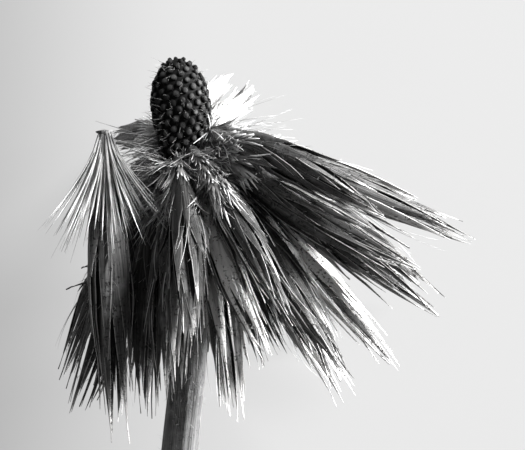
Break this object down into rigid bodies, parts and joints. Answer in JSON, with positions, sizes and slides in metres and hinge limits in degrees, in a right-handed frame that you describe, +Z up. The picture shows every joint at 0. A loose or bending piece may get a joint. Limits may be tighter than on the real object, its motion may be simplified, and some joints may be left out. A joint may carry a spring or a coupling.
{
  "type": "dried thistle flower head",
  "caption": "Lying head of slim bracted florets round a bare knobbed receptacle, on a short ribbed stem.",
  "frame": {"origin": "on the resting surface, under the middle of the whole head and stem", "axes": "+Y towards the receptacle's tip and -Y towards the cut end of the stem, +Z up, +X to the side that the skirt of florets leans to"},
  "size_m": [0.033, 0.055, 0.0313],
  "materials": {
    "stem": "dull",
    "receptacle": "dull",
    "floret": "satin"
  },
  "bodies": {
    "root": {"stem": "stem", "receptacle": "receptacle", "floret_back_a": "floret", "floret_back_b": "floret", "floret_back_c": "floret", "floret_back_d": "floret", "floret_back_e": "floret", "floret_back_f": "floret", "floret_back_g": "floret", "floret_back_h": "floret", "floret_front_a": "floret", "floret_front_b": "floret", "floret_front_c": "floret", "floret_front_d": "floret", "floret_front_e": "floret", "floret_front_f": "floret", "floret_front_g": "floret", "floret_front_h": "floret", "floret_inner_a": "floret", "floret_inner_b": "floret", "floret_inner_c": "floret", "floret_left_a": "floret", "floret_left_b": "floret", "floret_left_c": "floret", "floret_left_d": "floret", "floret_loose": "floret", "floret_rear_a": "floret", "floret_rear_b": "floret", "floret_rear_c": "floret", "floret_rear_d": "floret", "floret_rear_e": "floret", "floret_rear_f": "floret", "floret_rear_g": "floret", "floret_right_a": "floret", "floret_right_b": "floret", "floret_right_c": "floret", "floret_right_d": "floret", "floret_right_e": "floret", "floret_right_f": "floret", "floret_right_g": "floret"}
  },
  "joints": []
}
